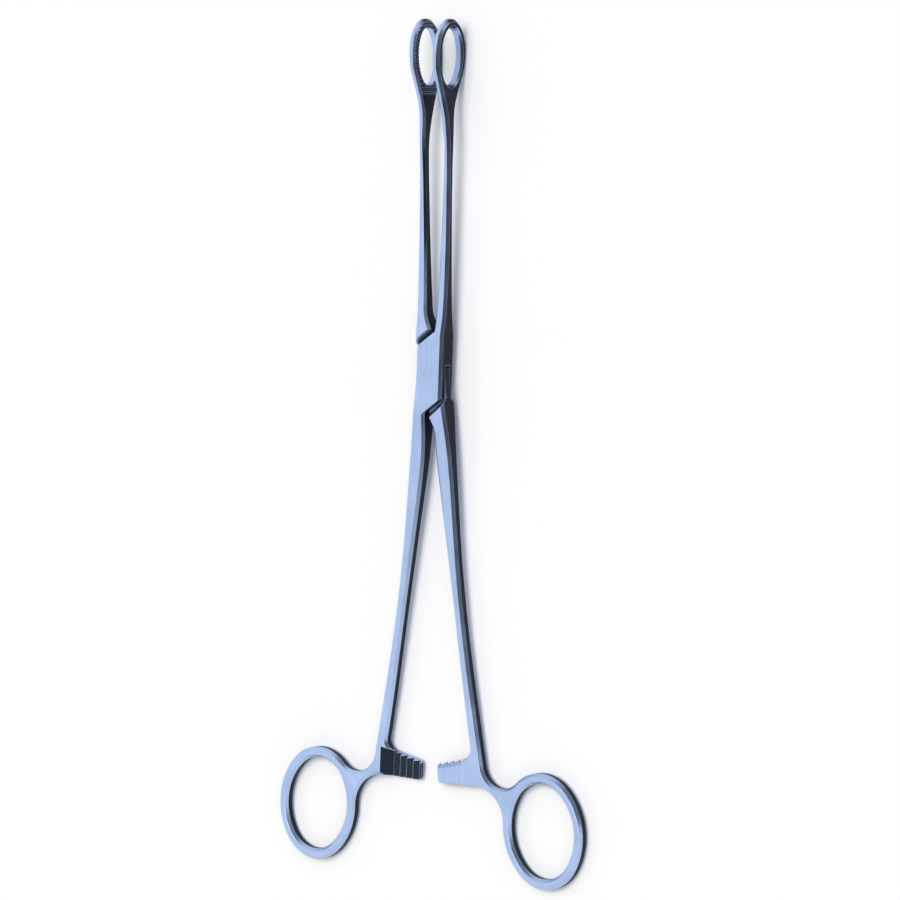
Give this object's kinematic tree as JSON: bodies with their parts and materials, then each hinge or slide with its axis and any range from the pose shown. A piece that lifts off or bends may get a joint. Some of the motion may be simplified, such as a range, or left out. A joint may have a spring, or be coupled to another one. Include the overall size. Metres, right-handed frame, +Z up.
{
  "type": "sponge forceps",
  "caption": "Straight ring-handled sponge forceps: two steel halves crossed in a box lock, with oval windowed serrated jaws and a toothed ratchet.",
  "frame": {"origin": "middle of the underside of the forceps as they lie flat at rest, below the middle of their outline", "axes": "+Z up along the lock pin, towards the front face; +Y from the finger rings to the jaws; +X to the right"},
  "size_m": [0.1072, 0.2406, 0.0134],
  "materials": {
    "steel": "satin ground stainless steel",
    "pin_steel": "satin ground stainless steel, ground flush with the lock"
  },
  "bodies": {
    "box_body": {"box_half": "steel", "lock_pin": "pin_steel"},
    "tongue_body": {"tongue_half": "steel"}
  },
  "joints": [
    {"name": "lock_hinge", "type": "hinge", "parent": "box_body", "child": "tongue_body", "pos_m": [0, 0.02159, 0.0067], "axis": [0, 0, 1], "range_deg": [-3.8, 46.2]}
  ]
}
